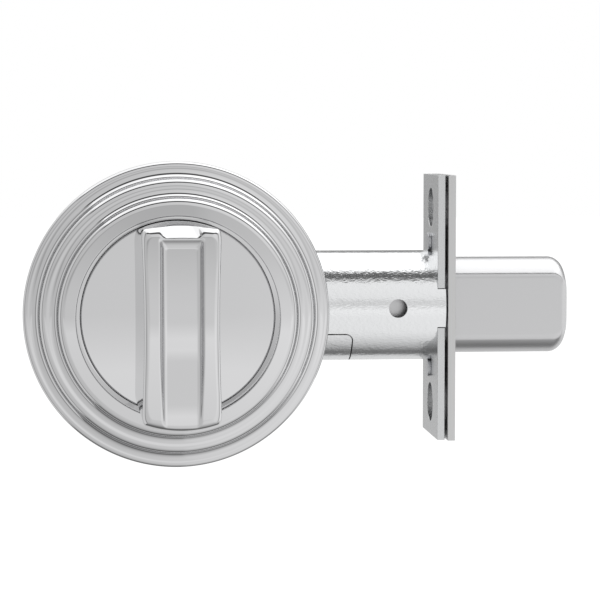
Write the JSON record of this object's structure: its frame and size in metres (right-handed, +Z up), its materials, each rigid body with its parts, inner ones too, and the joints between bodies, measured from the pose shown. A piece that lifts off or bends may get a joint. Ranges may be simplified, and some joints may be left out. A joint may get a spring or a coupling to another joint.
{
  "type": "deadbolt",
  "caption": "Tubular deadbolt with a stepped round rose and thumbturn, a thrown bolt in a tube latch with square face plate, and a key cylinder in an outer collar.",
  "frame": {"origin": "where the spindle's axis crosses the bolt's axis, in the middle of the door", "axes": "+X along the bolt's axis, the way it is thrown; -Y along the spindle towards the room; +Z up"},
  "size_m": [0.1175, 0.0944, 0.0636],
  "materials": {
    "polished_chrome": "polished chrome plating",
    "zinc_plate": "bright zinc plating on drawn steel",
    "satin_steel": "satin, ground",
    "satin_bolt": "satin, fine grained",
    "screw_steel": "zinc-plated screw steel",
    "spring_steel": "blued spring steel",
    "hard_steel": "hardened, ground steel",
    "cylinder_brass": "machined brass"
  },
  "bodies": {
    "root": {"inside_rose": "polished_chrome", "spring_washer": "spring_steel", "mounting_plate": "zinc_plate", "upper_screw": "screw_steel", "lower_screw": "screw_steel", "rose_set_screw": "hard_steel", "latch_tube": "zinc_plate", "case_cover": "zinc_plate", "backplate": "zinc_plate", "faceplate": "satin_steel", "plate_rivets": "screw_steel", "detent_spring": "spring_steel", "outside_collar": "polished_chrome", "hardened_disc": "hard_steel", "cylinder_body": "cylinder_brass"},
    "turn": {"thumbturn": "polished_chrome", "thumbturn_ring": "spring_steel", "tailpiece": "zinc_plate", "tail_driver": "hard_steel", "drive_cam": "zinc_plate"},
    "bolt": {"bolt": "satin_bolt", "bolt_tail": "zinc_plate", "tail_rivet": "hard_steel", "drive_pin": "hard_steel", "hardened_roller": "hard_steel", "roller_plug": "cylinder_brass"},
    "plug": {"key_plug": "cylinder_brass", "plug_clip": "spring_steel", "plug_driver": "hard_steel"}
  },
  "joints": [
    {"name": "thumbturn_turn", "type": "hinge", "parent": "root", "child": "turn", "pos_m": [0, 0, 0], "axis": [0, 1, 0], "range_deg": [0, 90]},
    {"name": "bolt_throw", "type": "slide", "parent": "root", "child": "bolt", "axis": [1, 0, 0], "range_m": [-0.0254, 0]},
    {"name": "key_turn", "type": "hinge", "parent": "root", "child": "plug", "pos_m": [0, 0, 0], "axis": [0, 1, 0], "range_deg": [-90, 90]}
  ],
  "couplings": [
    {"joint": "bolt_throw", "follows": "thumbturn_turn", "m_per_rad": -0.01617}
  ]
}
